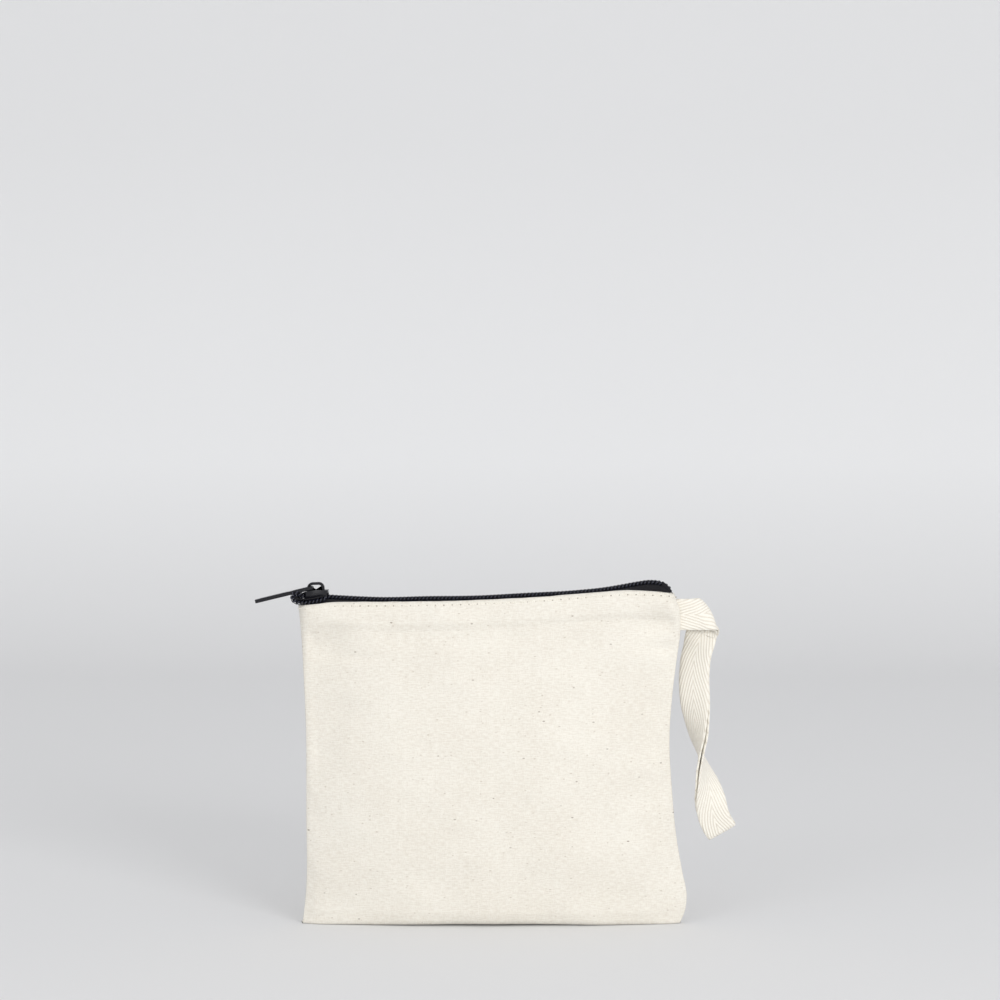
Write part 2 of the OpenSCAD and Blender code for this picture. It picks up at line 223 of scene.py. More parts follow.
# Soft dents and swells of the filled cloth: x, z, half width, half height, depth
dents = [(-54, 93, 8, 5, -1.4), (56, 100, 9, 5, -1.7), (48, 88, 12, 5, 0.7), (57, 62, 7, 9, -1.1),
         (-55, 60, 8, 22, -0.8), (-20, 96, 32, 4, -0.5), (20, 60, 26, 20, 0.6), (-28, 40, 22, 18, 0.5),
         (50, 20, 12, 8, 0.7), (-50, 16, 12, 7, 0.6), (10, 14, 34, 6, -0.5), (58, 44, 5, 5, -0.9),
         (-52, 99.2, 11, 1.1, -0.4), (-45, 89, 10, 1.8, -0.45), (58, 92, 6, 2.2, -0.8),
         (57, 73, 6, 3.0, -0.6), (52, 53, 8, 4.0, 0.5), (-36, 101, 9, 1.5, -0.25),
         (30, 101.5, 14, 1.6, -0.25)]


def drift(x, z, size, seed):
    """A slow uneven swell: a few waves in random directions, from -1 to 1."""
    draw = np.random.default_rng(seed)
    total = 0
    for _ in range(7):
        angle, phase, stretch = draw.uniform(0, math.tau), draw.uniform(0, math.tau), draw.uniform(0.6, 1.7)
        travel = x * math.cos(angle) + z * math.sin(angle)
        total = total + np.sin(math.tau * stretch / size * travel + phase)
    return total / 3.5


def panel_relief(x, z, top, a, seed):
    """How far the cloth stands proud of its plain shape, in millimetres."""
    relief = hem_proud * ramp(-hem_depth - 0.9, -hem_depth + 0.5, z - top)
    relief = relief - stitch_sink * np.exp(-((z - top + stitch_drop) / 0.45) ** 2)
    relief = relief + foot_roll * np.exp(-((z - foot_height) / 0.9) ** 2)
    for dx, dz, rx, rz, depth in dents:
        relief = relief + dent_press * depth * np.exp(-((x - dx) / rx) ** 2 - ((z - dz) / rz) ** 2)
    # Slow swells all over, then puckers along the side seams and along the topstitching
    relief = relief + 0.45 * drift(x, z, 46, seed) + 0.14 * drift(x, z, 15, seed + 1)
    pull = np.exp(-(1 - np.abs(a)) * 62 / 5)
    relief = relief + 0.3 * pull * drift(x * 0.2, z, 9, seed + 2)
    relief = relief + 0.07 * np.exp(-np.abs(z - top + stitch_drop) / 3) * drift(x, z * 0.3, 6, seed + 3)
    return relief * ramp(1.0, 0.93, np.abs(a))


def panel_surface(a, h, seed):
    """Points of the front panel's outer face at the share a across and h up, in millimetres."""
    left, right = left_seam(h), right_seam(h)
    x = left + (right - left) * (a + 1) / 2
    top = mouth_edge(x)
    lift = arch_rise * np.exp(-(x / arch_half) ** 2)
    z = lift + (top - lift) * h
    soft = np.maximum(0, 1 - np.abs(a) ** body_round) ** 0.72
    blunt = np.sqrt(np.maximum(0, 1 - np.abs(a) ** mouth_blunt))
    k = ramp(0.78, 0.99, h)
    depth = half_depth(h) * (soft * (1 - k) + blunt * k)
    depth = depth - 1.1 * (1 - np.clip(h / 0.018, 0, 1)) ** 2 * soft
    y = -(seam_gap + canvas_t + depth + panel_relief(x, z, top, a, seed))
    return np.stack([x, y, z], -1)


def grid_normals(points):
    """The direction that each point of a grid faces."""
    du = np.gradient(points, axis=1)
    dv = np.gradient(points, axis=0)
    n = np.cross(du, dv)
    return n / np.maximum(np.linalg.norm(n, axis=-1, keepdims=True), 1e-9)


def cloth_shell(outer, inner):
    """A closed sheet from two grids of points, the outer one facing along its own normals."""
    rows, columns, _ = outer.shape
    size = rows * columns
    faces = grid_faces(rows, columns)
    faces += [tuple(reversed([size + i for i in f])) for f in grid_faces(rows, columns)]
    rim = list(range(columns)) + [r * columns + columns - 1 for r in range(1, rows)]
    rim += [(rows - 1) * columns + c for c in range(columns - 2, -1, -1)]
    rim += [r * columns for r in range(rows - 2, 0, -1)]
    faces += [(a, size + a, size + b, b) for a, b in zip(rim, rim[1:] + rim[:1])]
    return np.concatenate([outer.reshape(-1, 3), inner.reshape(-1, 3)]), faces


def lay_pattern(piece, places):
    """The weave's own coordinates, in millimetres, one pair for each vertex."""
    layer = piece.data.uv_layers.new(name="cloth")
    corner = np.empty(len(piece.data.loops), dtype=np.int32)
    piece.data.loops.foreach_get("vertex_index", corner)
    layer.data.foreach_set("uv", np.asarray(places, float)[corner].astype(np.float32).ravel())


def mirrored(points, faces):
    """The same piece on the back of the pouch."""
    return points * np.array([1, -1, 1]), [tuple(reversed(f)) for f in faces]


# Cloth and metal use shader groups; the cloth's are a weave, the uneven yarns, and the brown flecks of seed
# in raw cotton
def new_group(name, inputs, outputs):
    """A shader group, with the sockets that it takes in and gives out."""
    group = bpy.data.node_groups.new(name, "ShaderNodeTree")
    for label, kind, value in inputs:
        made = group.interface.new_socket(label, in_out="INPUT", socket_type="NodeSocket" + kind)
        if value is not None:
            made.default_value = value
    for label in outputs:
        group.interface.new_socket(label, in_out="OUTPUT", socket_type="NodeSocketFloat")
    entry = group.nodes.new("NodeGroupInput")
    leave = group.nodes.new("NodeGroupOutput")
    return group, entry.outputs, leave.inputs


weave, taken, given = new_group("plain weave", [("Vector", "Vector", None), ("Pitch", "Float", 0.5)],
                                ["Height", "Gap"])
split = add_node(weave, "ShaderNodeSeparateXYZ", i0=taken["Vector"])
turn = maths(weave, "DIVIDE", math.pi, taken["Pitch"])
warp = maths(weave, "SINE", maths(weave, "MULTIPLY", split.outputs[0], turn))
weft = maths(weave, "SINE", maths(weave, "MULTIPLY", split.outputs[1], turn))
over = maths(weave, "GREATER_THAN", maths(weave, "MULTIPLY", warp, weft), 0.0)
warp, weft = maths(weave, "ABSOLUTE", warp), maths(weave, "ABSOLUTE", weft)
warp_top = maths(weave, "MULTIPLY", warp, maths(weave, "MULTIPLY_ADD", weft, 0.5, 0.5))
weft_top = maths(weave, "MULTIPLY", weft, maths(weave, "MULTIPLY_ADD", warp, 0.5, 0.5))
choice = add_node(weave, "ShaderNodeMix", i0=over, i2=weft_top, i3=warp_top)
weave.links.new(choice.outputs[0], given["Height"])
weave.links.new(maths(weave, "SUBTRACT", 1.0, maths(weave, "MAXIMUM", warp, weft)), given["Gap"])

slub, taken, given = new_group("uneven yarn", [("Vector", "Vector", None)], ["Height", "Tone"])
across = add_node(slub, "ShaderNodeMapping", Vector=taken["Vector"], Scale=(0.5, 2.7, 1))
along = add_node(slub, "ShaderNodeMapping", Vector=taken["Vector"], Scale=(2.7, 0.8, 1))
thick_a = add_node(slub, "ShaderNodeTexNoise", Vector=across.outputs[0], Scale=1.0, Detail=2.0).outputs[0]
thick_b = add_node(slub, "ShaderNodeTexNoise", Vector=along.outputs[0], Scale=1.0, Detail=2.0).outputs[0]
both = maths(slub, "ADD", maths(slub, "MULTIPLY", thick_a, 0.62), maths(slub, "MULTIPLY", thick_b, 0.38))
cloud = add_node(slub, "ShaderNodeTexNoise", Vector=taken["Vector"], Scale=0.05, Detail=3.0).outputs[0]
slub.links.new(both, given["Height"])
blotch = maths(slub, "MULTIPLY", maths(slub, "SUBTRACT", cloud, 0.5), 0.25)
slub.links.new(maths(slub, "ADD", both, blotch), given["Tone"])

flecks, taken, given = new_group(
    "seed flecks", [("Vector", "Vector", None), ("Cell", "Float", 3.0), ("Size", "Float", 0.2),
                    ("Share", "Float", 0.1)], ["Mask"])
longer = add_node(flecks, "ShaderNodeMapping", Vector=taken["Vector"], Scale=(0.65, 1.25, 1))
cells = add_node(flecks, "ShaderNodeTexVoronoi", Vector=longer.outputs[0],
                 Scale=maths(flecks, "DIVIDE", 1.0, taken["Cell"]), Randomness=1.0)
reach = maths(flecks, "MULTIPLY", cells.outputs["Distance"], taken["Cell"])
spot = maths(flecks, "SUBTRACT", 1.0, maths(flecks, "DIVIDE", reach, taken["Size"]))
tint = add_node(flecks, "ShaderNodeSeparateColor", i0=cells.outputs["Color"])
picked = maths(flecks, "LESS_THAN", tint.outputs[0], taken["Share"])
soft_spot = add_node(flecks, "ShaderNodeMapRange", Value=spot, From_Min=0.0, From_Max=0.4).outputs[0]
fleck_mask = maths(flecks, "MULTIPLY", soft_spot, picked)
darkness = maths(flecks, "MULTIPLY_ADD", tint.outputs[1], 0.7, 0.3)
flecks.links.new(maths(flecks, "MULTIPLY", fleck_mask, darkness), given["Mask"])


def cloth_coordinates(tree):
    """Where a point lies on its own cloth, across and along, in millimetres."""
    return add_node(tree, "ShaderNodeUVMap", {"uv_map": "cloth"}).outputs[0]


def use_group(tree, group, **inputs):
    return add_node(tree, "ShaderNodeGroup", {"node_tree": group}, **inputs).outputs


def raised(tree, shader, height, distance, strength=1.0):
    """Fine relief that the mesh is too coarse to hold."""
    bump = add_node(tree, "ShaderNodeBump", Height=height, Distance=distance, Strength=strength)
    tree.links.new(bump.outputs[0], shader.inputs["Normal"])


canvas, tree, shader = new_material("canvas")
where = cloth_coordinates(tree)
threads = use_group(tree, weave, Vector=where, Pitch=0.42)
yarn = use_group(tree, slub, Vector=where)
seeds = use_group(tree, flecks, Vector=where, Cell=3.6, Size=0.34, Share=0.36)
trash = use_group(tree, flecks, Vector=where, Cell=1.6, Size=0.3, Share=0.35)
tone = add_node(tree, "ShaderNodeMapRange", Value=yarn["Tone"], From_Min=0.36, From_Max=0.6).outputs[0]
plain = mixed(tree, tone, (0.795, 0.745, 0.655, 1), (0.905, 0.872, 0.79, 1))
# The gaps between the yarns are painted darker: painted shade between the threads
woven = mixed(tree, maths(tree, "MULTIPLY", threads["Gap"], 0.35), plain, (0.62, 0.55, 0.44, 1))
dusty = mixed(tree, maths(tree, "MULTIPLY", trash["Mask"], 0.4), woven, (0.36, 0.27, 0.18, 1))
flecked = mixed(tree, maths(tree, "MULTIPLY", seeds["Mask"], 0.75), dusty, (0.20, 0.14, 0.09, 1))
tree.links.new(flecked, shader.inputs["Base Color"])
cloth_height = maths(tree, "ADD", threads["Height"], maths(tree, "MULTIPLY", yarn["Height"], 1.3))
raised(tree, shader, cloth_height, 0.00012, 0.8)
shader.inputs["Roughness"].default_value = 0.92
shader.inputs["Sheen Weight"].default_value = 0.25
shader.inputs["Sheen Roughness"].default_value = 0.6

across_steps, up_steps, under_steps = 132, 112, 7
floor_t, middle_y, floor_depth = 0.55, 0.3, 7
# The places of the wall's columns, from -1 at the left seam to 1 at the right, and of its rows, from 0 to 1
a_line = np.sin(np.linspace(-math.pi / 2, math.pi / 2, across_steps + 1) * 0.94)
a_line = a_line / a_line[-1]
h_line = np.concatenate([np.linspace(0, 0.03, 7)[:-1], np.linspace(0.03, 1, up_steps)])


def canvas_panel(seed):
    """One panel: its wall with the hem, the floor half, and the three seam allowances."""
    a, h = np.meshgrid(a_line, h_line)
    wall = panel_surface(a, h, seed)
    edge = wall[0]
    floor = []
    for q in np.linspace(1, 0, under_steps, endpoint=False):
        row = edge.copy()
        row[:, 1] = edge[:, 1] * (1 - q) - middle_y * q
        row[:, 2] = edge[:, 2] + 0.12 * math.sin(q * math.pi) + 0.5 * q**4
        floor.append(row)
    outer = np.concatenate([np.array(floor), wall])
    normal = grid_normals(outer)
    x, z = outer[..., 0], outer[..., 2]
    folded = ramp(-hem_depth - 0.2, -hem_depth + 0.1, z - mouth_edge(x))
    inner = outer - normal * (canvas_t * (1 + 0.95 * folded))[..., None]
    inner[..., 1] = np.minimum(inner[..., 1], -0.08)
    inner[..., 2] = np.maximum(inner[..., 2], floor_t)
    points, faces = cloth_shell(outer, inner)
    on_floor = np.concatenate([np.full(under_steps, 1.0), np.zeros(len(h_line))])[:, None]
    under = on_floor * (outer[..., 1] + floor_depth)
    places = np.stack([x, z + under], -1).reshape(-1, 2)
    places = np.concatenate([places, places])
    for strip_points, strip_faces in seam_allowances():
        faces += [tuple(i + len(points) for i in f) for f in strip_faces]
        points = np.concatenate([points, strip_points])
        places = np.concatenate([places, strip_points[:, [0, 2]]])
    return points, faces, places


def seam_allowances():
    """The turned-in edges of a panel, which lie against the other panel's inside the pouch."""
    raw_x, raw_z, steps, columns = 54.6, 7.0, 40, 5
    near_y, far_y = -0.12, -0.68
    for side, seam in ((-1, left_seam), (1, right_seam)):
        h = np.linspace(0.03, 0.965, steps)
        near, across = seam(h) - side * canvas_t, np.linspace(0, 1, columns)
        x = near[:, None] * (1 - across) + side * raw_x * across
        z = np.repeat((h * wall_height)[:, None], columns, 1)
        wave = 0.1 * np.sin(z * 0.4) * across
        sheet = np.stack([x, np.full_like(x, near_y), z], -1)
        back = np.stack([x, far_y + wave, z], -1)
        points, faces = cloth_shell(sheet, back)
        yield points, faces if side < 0 else [tuple(reversed(f)) for f in faces]
    x = np.repeat(np.linspace(-53.5, 53.5, steps)[None], 4, 0)
    z = np.repeat(np.linspace(1.2, raw_z, 4)[:, None], steps, 1)
    yield cloth_shell(*[np.stack([x, np.full_like(x, y), z], -1) for y in (far_y, near_y)])


# The lips of the mouth part with the zip. Between these x and heights they go from staying shut to parting.
lip_left, lip_right, lip_foot = (-61.5, -28), (18, 47), (20, 45)


def lip_share(points):
    """How far each point goes with its half of the zip: most in the middle, not at all at the sewn ends."""
    x, z = points[:, 0] / MM, points[:, 2] / MM
    return ramp(*lip_left, x) * (1 - ramp(*lip_right, x)) * ramp(*lip_foot, z)


def part_with(piece, side):
    """Bakes the piece's placing into its mesh and works out the share of each point from lip_share, which
    keeps the lips shut at both ends. A blend runs along one line only, and the lips also have to stay
    shut at both ends. The share is not put to use.
    """
    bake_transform(piece)
    points = np.array([v.co for v in piece.data.vertices])
    share = lip_share(points).astype(np.float32)


# Each panel has its own uneven swells
panel_seeds = {"front": 11, "back": 47}
for side, seed in panel_seeds.items():
    points, faces, places = canvas_panel(seed)
    if side == "back":
        points, faces = mirrored(points, faces)
    panel = new_piece(side + "_canvas", points * MM, faces, canvas)
    lay_pattern(panel, places)
    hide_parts(side + "_panel")
    part_with(panel, side)


# Sewing thread
# Cotton-wrapped thread, laid as separate short stitches that bite into the canvas.
def tube(path, radius, sides=6, closed=False):
    """A round thread along a path: points and faces, with its ends closed."""
    path = np.array(path, float)
    n = len(path)
    if closed:
        heading = np.roll(path, -1, 0) - np.roll(path, 1, 0)
    else:
        heading = np.gradient(path, axis=0)
    heading /= np.linalg.norm(heading, axis=1, keepdims=True)
    guide = np.array([0.31, 0.17, 0.94])
    first = np.cross(heading, guide)
    first /= np.linalg.norm(first, axis=1, keepdims=True)
    second = np.cross(heading, first)
    turn = np.linspace(0, math.tau, sides, endpoint=False)
    radius = np.broadcast_to(np.asarray(radius, float), n)
    points = (path[:, None] + radius[:, None, None] * (
        first[:, None] * np.cos(turn)[None, :, None] + second[:, None] * np.sin(turn)[None, :, None]))
    rows = n if closed else n - 1
    faces = [(r * sides + c, r * sides + (c + 1) % sides,
              (r + 1) % n * sides + (c + 1) % sides, (r + 1) % n * sides + c)
             for r in range(rows) for c in range(sides)]
    if not closed:
        faces += [tuple(range(sides - 1, -1, -1)), tuple((n - 1) * sides + c for c in range(sides))]
    return points.reshape(-1, 3), faces


def pattern_piece(name, points, faces, material):
    """A small piece that a row repeats: kept out of the picture, for the row's own tree to copy."""
    piece = new_piece(name, points * MM, faces, material)
    bpy.context.collection.objects.unlink(piece)
    return piece


row_tree = bpy.data.node_groups.new("row along a path", "GeometryNodeTree")
for label, kind in (("Path", "Geometry"), ("Spacing", "Float"), ("Piece", "Object"), ("Finish", "Material")):
    row_tree.interface.new_socket(label, in_out="INPUT", socket_type="NodeSocket" + kind)
row_tree.interface.new_socket("Row", in_out="OUTPUT", socket_type="NodeSocketGeometry")
enter, leave = row_tree.nodes.new("NodeGroupInput"), row_tree.nodes.new("NodeGroupOutput")
line = add_node(row_tree, "GeometryNodeMeshToCurve", Mesh=enter.outputs["Path"])
evened = row_tree.nodes.new("GeometryNodeResampleCurve")
evened.mode = "LENGTH"
row_tree.links.new(line.outputs[0], evened.inputs["Curve"])
row_tree.links.new(enter.outputs["Spacing"], evened.inputs["Length"])
heading = row_tree.nodes.new("GeometryNodeInputTangent")
facing = add_node(row_tree, "FunctionNodeAlignRotationToVector", {"axis": "X", "pivot_axis": "Y"},
                  Vector=heading.outputs[0])
shape = add_node(row_tree, "GeometryNodeObjectInfo", Object=enter.outputs["Piece"])
copies = add_node(row_tree, "GeometryNodeInstanceOnPoints", Points=evened.outputs[0],
                  Instance=shape.outputs["Geometry"], Rotation=facing.outputs[0])
real = add_node(row_tree, "GeometryNodeRealizeInstances", Geometry=copies.outputs[0])
dressed = add_node(row_tree, "GeometryNodeSetMaterial", Geometry=real.outputs[0],
                   Material=enter.outputs["Finish"])
row_tree.links.new(dressed.outputs[0], leave.inputs[0])


def row_of(name, path, spacing, piece, material):
    """Copies of a small piece along a path, as one plain mesh."""
    path = np.array(path, float)
    mesh = bpy.data.meshes.new(name)
    mesh.from_pydata([tuple(p * MM) for p in path], [(i, i + 1) for i in range(len(path) - 1)], [])
    made = bpy.data.objects.new(name, mesh)
    bpy.context.collection.objects.link(made)
    modifier = made.modifiers.new("row", "NODES")
    modifier.node_group = row_tree
    values = {"Spacing": spacing * MM, "Piece": piece, "Finish": material}
    for item in row_tree.interface.items_tree:
        if item.item_type == "SOCKET" and item.in_out == "INPUT" and item.name in values:
            modifier[item.identifier] = values[item.name]
    graph = bpy.context.evaluated_depsgraph_get()
    plain_mesh = bpy.data.meshes.new_from_object(made.evaluated_get(graph))
    made.modifiers.clear()
    made.data = plain_mesh
    made.data.name = name
    made.data.shade_smooth()
    return made


thread, tree, shader = new_material("sewing thread")
twist = add_node(tree, "ShaderNodeTexWave", {"wave_type": "BANDS", "bands_direction": "DIAGONAL"},
                 Vector=add_node(tree, "ShaderNodeTexCoord").outputs["Object"], Scale=900.0, Distortion=1.0)
# The low bands of the twist are painted darker: painted shade in the grooves between the plies
tree.links.new(mixed(tree, twist.outputs[1], (0.76, 0.72, 0.62, 1), (0.92, 0.885, 0.80, 1)),
               shader.inputs["Base Color"])
raised(tree, shader, twist.outputs[1], 0.00006)
shader.inputs["Roughness"].default_value = 0.75
shader.inputs["Sheen Weight"].default_value = 0.2

# Dark dots at the ends of the stitches: painted shade where the thread dives into the canvas
stitch_end_shade, tree, shader = new_material("painted stitch-end shade")
shade_of = add_node(tree, "ShaderNodeTexNoise",
                    Vector=add_node(tree, "ShaderNodeTexCoord").outputs["Object"], Scale=900.0)
tree.links.new(mixed(tree, shade_of.outputs[0], (0.30, 0.27, 0.22, 1), (0.52, 0.47, 0.39, 1)),
               shader.inputs["Base Color"])
shader.inputs["Roughness"].default_value = 0.95

# A stitch lies to the front of its own row, so the row on the back stands further out
stitch_pitch, front_sink, back_lift = 2.72, 0.05, 0.15
stitch_line = [(-1.02, 0.1, -0.05), (-0.85, -0.04, 0), (-0.3, -0.1, 0),
               (0.3, -0.1, 0), (0.85, -0.04, 0), (1.02, 0.1, 0.05)]
stitch = pattern_piece("stitch", *tube(stitch_line, [0.1, 0.17, 0.19, 0.19, 0.17, 0.1]), thread)
shade_dot_line = [(-0.24, 0, 0), (-0.14, 0, 0), (0.14, 0, 0), (0.24, 0, 0)]
hole = pattern_piece("hole", *tube(shade_dot_line, [0.05, 0.19, 0.19, 0.05], 8), stitch_end_shade)


def joined(keep, other):
    """Two plain meshes as one, each with its own material."""
    both_of = bmesh.new()
    both_of.from_mesh(keep.data)
    count = len(both_of.faces)
    both_of.from_mesh(other.data)
    for i, face in enumerate(both_of.faces):
        face.material_index = 1 if i >= count else 0
    both_of.to_mesh(keep.data)
    both_of.free()
    while len(keep.data.materials) < 2:
        keep.data.materials.append(other.data.materials[0])
    keep.data.shade_smooth()
    bpy.data.objects.remove(other)
    return keep


for side, seed in panel_seeds.items():
    a = np.linspace(-0.985, 0.975, 240)
    near_edge = panel_surface(a, np.full_like(a, 0.989), seed)
    stitch_row = panel_surface(a, 1 - stitch_drop / mouth_edge(near_edge[:, 0]), seed)
    if side == "front":
        stitch_row[:, 1] += front_sink
    else:
        stitch_row[:, 1] = -stitch_row[:, 1] + back_lift
    # Painted shade dots sit between the stitches, where the thread dives into the canvas
    between = stitch_row + np.array([stitch_pitch / 2, -0.08, 0])
    sewn = joined(row_of("mouth_stitches_" + side, stitch_row, stitch_pitch, stitch, thread),
                  row_of("needle_holes_" + side, between, stitch_pitch, hole, stitch_end_shade))
    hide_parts("topstitch_" + side)
    part_with(sewn, side)

# The seams inside
# A lockstitch joins the panels at each side and along the bottom, and overlock thread binds the raw edges.
lock = pattern_piece("lock_stitch", *tube(
    [(-1.15, -0.74, 0), (-0.9, -0.9, 0), (0.9, -0.9, 0), (1.15, -0.74, 0), (1.15, 0.74, 0), (0.9, 0.9, 0),
     (-0.9, 0.9, 0), (-1.15, 0.74, 0)], 0.15, 6, True), thread)


def overlock_wrap(name, rise):
    """One slanting turn of thread round a raw edge."""
    angle = np.linspace(0, math.tau, 12, endpoint=False)
    ring = np.stack([0.9 * np.sin(angle), 0.92 * np.cos(angle), rise * np.sin(angle)], -1)
    return pattern_piece(name, *tube(ring, 0.16, 5, True), thread)


wrap, wrap_up = overlock_wrap("overlock_wrap", 1.25), overlock_wrap("overlock_wrap_up", -1.25)
wrap_pitch, seam_inset, binding_x = 1.5, 2.3, 55.6
heights = np.linspace(0.035, 0.955, 60)
for name, seam, side in (("left", left_seam, -1), ("right", right_seam, 1)):
    level, z = np.zeros_like(heights), heights * wall_height
    seam_line = np.stack([seam(heights) - side * seam_inset, level, z], -1)
    raw_edge = np.stack([np.full_like(heights, side * binding_x), level, z], -1)
    sewn = row_of("seam_stitches_" + name, seam_line, stitch_pitch, lock, thread)
    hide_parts("side_seam_" + name)
    bound = row_of("edge_binding_" + name, raw_edge, wrap_pitch, wrap, thread)
    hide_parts("overlock_" + name)
    for piece in (sewn, bound):
        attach(piece, "pouch")
bottom_half, seam_z, binding_z = 52, 2.0, 6.3
run = np.linspace(-bottom_half, bottom_half, 60)
seam_line, raw_edge = [np.stack([run, 0 * run, np.full_like(run, z)], -1) for z in (seam_z, binding_z)]
sewn = row_of("seam_stitches_bottom", seam_line, stitch_pitch, lock, thread)
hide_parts("bottom_seam")
bound = row_of("edge_binding_bottom", raw_edge, wrap_pitch, wrap_up, thread)
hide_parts("overlock_bottom")
for piece in (sewn, bound):
    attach(piece, "pouch")


# The zip
# Two black woven tapes, each with half of a nylon coil sewn along its edge. The coil is wound from one
# monofilament over a filler cord. The tapes are sewn under the hem, and their ends are turned into the seams.
chain_height = smooth_line([(-62, 108.9), (-57, 108.8), (-53, 108.6), (-44, 108.1), (-36, 107.8),
                            (-20, 108.1), (-4, 108.3), (12, 109.15), (30, 110.15), (39, 111.1), (45, 112.1),
                            (50, 113.0), (54, 113.45), (57.5, 112.8), (60, 110.7), (61.4, 107.8)])
# Past the slider the coil's end is folded down, forward and back along the hem: x, height, distance in front
tuck = [(-54.0, 108.1, 3.3), (-56.0, 107.65, 3.8), (-58.5, 107.25, 4.0), (-61.0, 107.05, 4.0),
        (-63.0, 107.2, 3.8), (-64.2, 107.9, 3.3), (-64.5, 109.0, 2.7), (-63.9, 109.85, 2.0),
        (-62.8, 109.6, 1.4)]
coil_pitch, wire_r = 1.25, 0.29
chain_left, chain_right = -61.6, 61.4
slider_middle, post_clearance = -57.0, 1.1


def parting(x):
    """How far each half of the chain stands off the middle, round the slider's post."""
    return post_clearance * (1 - ramp(slider_middle - 4.2, slider_middle + 0.5, x))


def fine_line(points, step):
    """A smooth curve through points, as points a step apart."""
    points = np.array(points, float)
    travel = np.concatenate([[0], np.cumsum(np.linalg.norm(np.diff(points, axis=0), axis=1))])
    at = np.arange(0, travel[-1], step)
    return np.stack([smooth_line(list(zip(travel, column)))(at) for column in points.T], -1)


def chain_path(y, up, step=0.5):
    """A line beside the middle of the chain, at its own distance y to the front and up from the coil."""
    x = np.arange(chain_left, chain_right, step)
    chain = np.stack([x, chain_height(x), parting(x)], -1)
    middle = fine_line(np.concatenate([np.array(tuck), chain[::4]]), step)
    along = np.gradient(middle[:, :2], axis=0)
    along /= np.linalg.norm(along, axis=1, keepdims=True)
    return np.stack([middle[:, 0] - along[:, 1] * up, -y - middle[:, 2], middle[:, 1] + along[:, 0] * up], -1)


nylon, tree, shader = new_material("nylon coil")
speck = add_node(tree, "ShaderNodeTexNoise",
                 Vector=add_node(tree, "ShaderNodeTexCoord").outputs["Object"], Scale=700.0, Detail=3.0)
tree.links.new(mixed(tree, speck.outputs[0], (0.008, 0.009, 0.018, 1), (0.022, 0.024, 0.042, 1)),
               shader.inputs["Base Color"])
raised(tree, shader, speck.outputs[0], 0.00003)
shader.inputs["Roughness"].default_value = 0.3

# One turn of the coil: flat legs above and below, a head past the middle, and a slanting turn outside
turn_share = np.linspace(0, 1, 21)
loop_x = coil_pitch * (turn_share - 0.5 - 0.6 * np.sin(math.tau * turn_share) / math.tau)
loop_c, loop_s = np.cos(math.tau * turn_share), np.sin(math.tau * turn_share)
loop_y = -0.78 + 0.95 * np.sign(loop_c) * np.abs(loop_c) ** 0.7
loop_z = -0.56 * np.sign(loop_s) * np.abs(loop_s) ** 0.75
one_turn = tube(np.stack([loop_x, loop_y, loop_z], -1), wire_r, 7)
loop = pattern_piece("coil_loop", *one_turn, nylon)
loop_back = pattern_piece("coil_loop_back", *mirrored(*one_turn), nylon)

tape_cloth, tree, shader = new_material("zip tape")
where = cloth_coordinates(tree)
threads = use_group(tree, weave, Vector=where, Pitch=0.33)
# The tops of the threads are painted lighter than the hollows between them: painted light and shade of the
# weave
tree.links.new(mixed(tree, threads["Height"], (0.004, 0.004, 0.006, 1), (0.014, 0.013, 0.016, 1)),
               shader.inputs["Base Color"])
raised(tree, shader, threads["Height"], 0.0001)
shader.inputs["Roughness"].default_value = 0.85
shader.inputs["Specular IOR Level"].default_value = 0.25

tape_t, hood_start, fold_inside = 0.4, 57.6, 0.95
end_t = tape_t * 0.7
# The tape lies this far under the coil's middle line, and reaches this far down behind the hem
coil_rise, tape_tuck = 0.9, 7.0


def tape_profile(x, seed):
    """The tape's section at x: flat under the coil, then down behind the hem. Pairs of y and z."""
    height = chain_height(x)
    a = np.clip(2 * (x - left_seam(1.0)) / (right_seam(1.0) - left_seam(1.0)) - 1, -0.99, 0.99)
    edge = panel_surface(np.array([a]), np.array([0.985]), seed)[0]
    hem_y = min(edge[1] + 2 * canvas_t + 0.35, -0.75)
    hem_z = mouth_edge(x)
    part = parting(x)
    start = np.array([-0.45 - part, height - coil_rise])
    knee = np.array([-1.9 - part, height - coil_rise - 0.05])
    corner = np.array([hem_y, min(height - 1.1, hem_z + 1.2)])
    rim = np.array([hem_y, hem_z - 1.2])
    foot = np.array([hem_y, hem_z - tape_tuck])
    bend = [(1 - t) ** 2 * knee + 2 * t * (1 - t) * corner + t * t * rim for t in np.linspace(0, 1, 9)]
    return np.array([start, (start + knee) / 2] + bend + [(rim + foot) / 2, foot])


def zip_tape(seed):
    """One tape: its long strip and its two ends."""
    x = np.concatenate([np.arange(-60.6, 58, 0.8), np.arange(58, 61.7, 0.4)])
    section = np.array([tape_profile(v, seed) for v in x])
    face = np.stack([np.repeat(x[:, None], section.shape[1], 1), section[..., 0], section[..., 1]], -1)
    reach = np.cumsum(np.linalg.norm(np.diff(face, axis=1, prepend=face[:, :1]), axis=2), axis=1)
    under = face + grid_normals(face) * tape_t
    points, faces = cloth_shell(face, under)
    places = np.stack([face[..., 0], reach], -1).reshape(-1, 2)
    places = np.concatenate([places, places])
    # The folded end, on the inside of the folded coil, and the other end, which is turned over it like a hood
    folded = cloth_shell(fold_rows(fold_inside), fold_rows(fold_inside + end_t))
    hood = cloth_shell(hood_rows(0.0), hood_rows(end_t))
    for end_points, end_faces in (folded, hood):
        faces += [tuple(i + len(points) for i in f) for f in end_faces]
        places = np.concatenate([places, end_points[:, [0, 1]]])
        points = np.concatenate([points, end_points])
    return points, [tuple(reversed(f)) for f in faces], places


